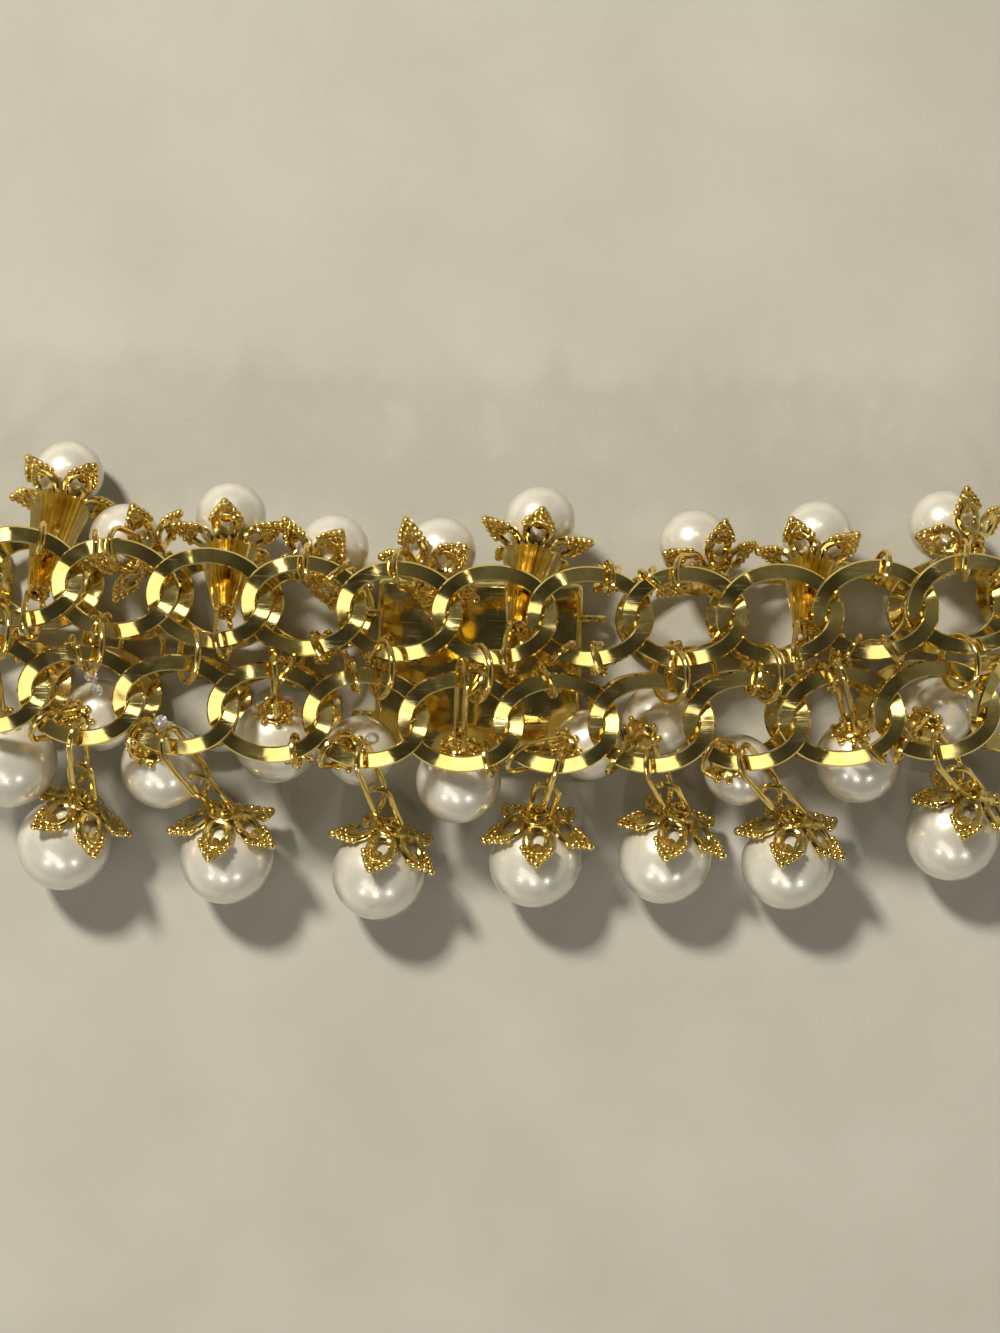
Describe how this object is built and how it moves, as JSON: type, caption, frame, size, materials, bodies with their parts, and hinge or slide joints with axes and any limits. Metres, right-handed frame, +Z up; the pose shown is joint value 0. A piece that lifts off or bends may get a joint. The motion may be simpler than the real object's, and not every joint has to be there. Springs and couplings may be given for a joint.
{
  "type": "pearl bracelet",
  "caption": "Double-row curb-link bracelet with imitation pearl drops in pierced petal caps, fastened and lying flat on its clasp",
  "frame": {"origin": "middle of the clasp's flat underside, on the surface that the bracelet lies on", "axes": "+X along the bracelet's two runs, +Y across the rows towards the back row, +Z up"},
  "size_m": [0.1024, 0.0402, 0.015],
  "materials": {
    "gold": "polished yellow gold plate",
    "pearl": "ivory imitation pearl, glossy",
    "crystal": "clear cut crystal"
  },
  "bodies": {
    "root": {"chain_row_back": "gold", "chain_row_front": "gold", "clasp": "gold", "cap_front_1": "gold", "cap_front_2": "gold", "cap_front_3": "gold", "cap_front_4": "gold", "cap_front_5": "gold", "cap_front_6": "gold", "cap_front_7": "gold", "cap_back_1": "gold", "cap_back_2": "gold", "cap_back_3": "gold", "cap_back_4": "gold", "cap_back_5": "gold", "cap_back_6": "gold", "cap_back_7": "gold", "cap_back_8": "gold", "cap_back_9": "gold", "pearl_front_1": "pearl", "pearl_front_2": "pearl", "pearl_front_3": "pearl", "pearl_front_4": "pearl", "pearl_front_5": "pearl", "pearl_front_6": "pearl", "pearl_front_7": "pearl", "pearl_back_1": "pearl", "pearl_back_2": "pearl", "pearl_back_3": "pearl", "pearl_back_4": "pearl", "pearl_back_5": "pearl", "pearl_back_6": "pearl", "pearl_back_7": "pearl", "pearl_back_8": "pearl", "pearl_back_9": "pearl", "pearl_middle_1": "pearl", "pearl_middle_2": "pearl", "pearl_middle_3": "pearl", "pearl_middle_4": "pearl", "pearl_middle_5": "pearl", "pearl_middle_6": "pearl", "pearl_middle_7": "pearl", "pearl_middle_8": "pearl", "pearl_middle_9": "pearl", "pearl_middle_10": "pearl", "pearl_middle_11": "pearl"}
  },
  "joints": []
}
